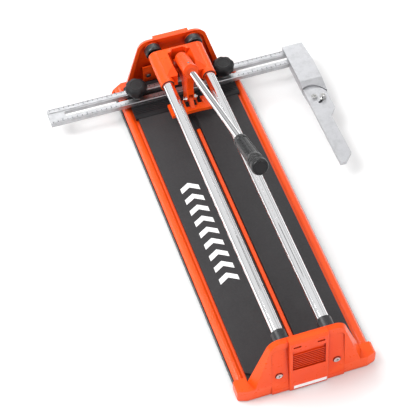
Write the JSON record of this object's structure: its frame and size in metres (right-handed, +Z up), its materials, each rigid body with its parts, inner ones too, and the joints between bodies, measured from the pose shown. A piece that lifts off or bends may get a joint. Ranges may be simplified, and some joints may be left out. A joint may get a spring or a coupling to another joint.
{
  "type": "manual tile cutter",
  "caption": "Manual tile cutter with chromed guide rails, sliding lever carriage with scoring wheel and breaker foot, padded base, sliding ruler and swivelling side stop.",
  "frame": {"origin": "centre of the overall box, on the bench under the feet", "axes": "+X to the right across the cut, +Y along the cut towards the ruler end, +Z up; the user stands at -Y"},
  "size_m": [0.55, 0.806, 0.3186],
  "materials": {
    "orange_cast": "gloss orange paint on cast aluminium",
    "orange_steel": "gloss paint on sheet steel",
    "black_steel": "satin paint on sheet steel",
    "zinc_steel": "bright zinc plate",
    "pad_rubber": "fine-grained foam rubber",
    "black_plastic": "fine moulded texture",
    "chrome_steel": "bright chrome plate",
    "black_rubber": "satin rubber",
    "white_label": "blank plate",
    "ruler_aluminium": "satin anodised",
    "plate_aluminium": "mill finish",
    "grey_cast": "cast, lightly tumbled",
    "bush_plastic": "self-lubricating plastic",
    "grip_rubber": "soft moulded grip",
    "carbide_steel": "ground carbide"
  },
  "bodies": {
    "base": {"front_end_casting": "orange_cast", "rear_end_casting": "orange_cast", "front_bracket": "orange_steel", "rear_bracket": "orange_steel", "base_tray": "black_steel", "left_side_rail": "orange_steel", "right_side_rail": "orange_steel", "breaking_bar": "orange_steel", "left_table_plate": "plate_aluminium", "right_table_plate": "plate_aluminium", "left_pad": "pad_rubber", "right_pad": "pad_rubber", "rear_rest_plate": "black_plastic", "left_guide_rail": "chrome_steel", "right_guide_rail": "chrome_steel", "front_left_bumper": "black_rubber", "front_right_bumper": "black_rubber", "rear_left_bumper": "black_rubber", "rear_right_bumper": "black_rubber", "end_screws": "zinc_steel", "end_nuts": "zinc_steel", "tray_screws": "zinc_steel", "rubber_feet": "black_rubber", "front_label": "white_label", "knob_studs": "zinc_steel", "knob_washers": "zinc_steel"},
    "ruler": {"ruler_bar": "ruler_aluminium"},
    "left_clamp": {"left_knob": "black_plastic"},
    "right_clamp": {"right_knob": "black_plastic"},
    "side_stop": {"side_stop_head": "grey_cast", "stop_pivot_screw": "zinc_steel", "stop_lock_screw": "zinc_steel", "stop_set_screw": "zinc_steel"},
    "stop_arm": {"side_stop_arm": "grey_cast"},
    "carriage": {"carriage_casting": "orange_cast", "left_slide_bushes": "bush_plastic", "right_slide_bushes": "bush_plastic", "lever_pivot_pin": "zinc_steel"},
    "lever": {"lever_casting": "orange_cast", "socket_screw": "zinc_steel", "handle_tube": "chrome_steel", "handle_grip": "grip_rubber", "grip_end_cap": "black_plastic", "wheel_axle": "zinc_steel", "wheel_axle_nut": "zinc_steel", "foot_pin": "zinc_steel", "foot_pin_nut": "zinc_steel"},
    "wheel": {"scoring_wheel": "carbide_steel"},
    "foot": {"breaker_foot": "orange_cast"}
  },
  "joints": [
    {"name": "carriage_slide", "type": "slide", "parent": "base", "child": "carriage", "axis": [0, 1, 0], "range_m": [-0.596, 0.002]},
    {"name": "lever_pivot", "type": "hinge", "parent": "carriage", "child": "lever", "pos_m": [0, 0.322, 0.114], "axis": [-1, 0, 0], "range_deg": [-9, 22]},
    {"name": "foot_tilt", "type": "hinge", "parent": "lever", "child": "foot", "pos_m": [0, 0.262, 0.073], "axis": [-1, 0, 0], "range_deg": [-7, 7]},
    {"name": "wheel_spin", "type": "hinge", "parent": "lever", "child": "wheel", "pos_m": [0, 0.276, 0.057], "axis": [1, 0, 0], "continuous": true},
    {"name": "ruler_slide", "type": "slide", "parent": "base", "child": "ruler", "axis": [1, 0, 0], "range_m": [-0.05, 0.12]},
    {"name": "stop_slide", "type": "slide", "parent": "ruler", "child": "side_stop", "axis": [1, 0, 0], "range_m": [-0.05, 0]},
    {"name": "stop_swivel", "type": "hinge", "parent": "side_stop", "child": "stop_arm", "pos_m": [0.243, 0.206, 0.041], "axis": [0, 0, 1], "range_deg": [0, 45]},
    {"name": "left_knob_turn", "type": "hinge", "parent": "base", "child": "left_clamp", "pos_m": [-0.092, 0.328, 0.06], "axis": [0, 0, 1], "range_deg": [0, 540]},
    {"name": "right_knob_turn", "type": "hinge", "parent": "base", "child": "right_clamp", "pos_m": [0.092, 0.328, 0.06], "axis": [0, 0, 1], "range_deg": [0, 540]}
  ]
}
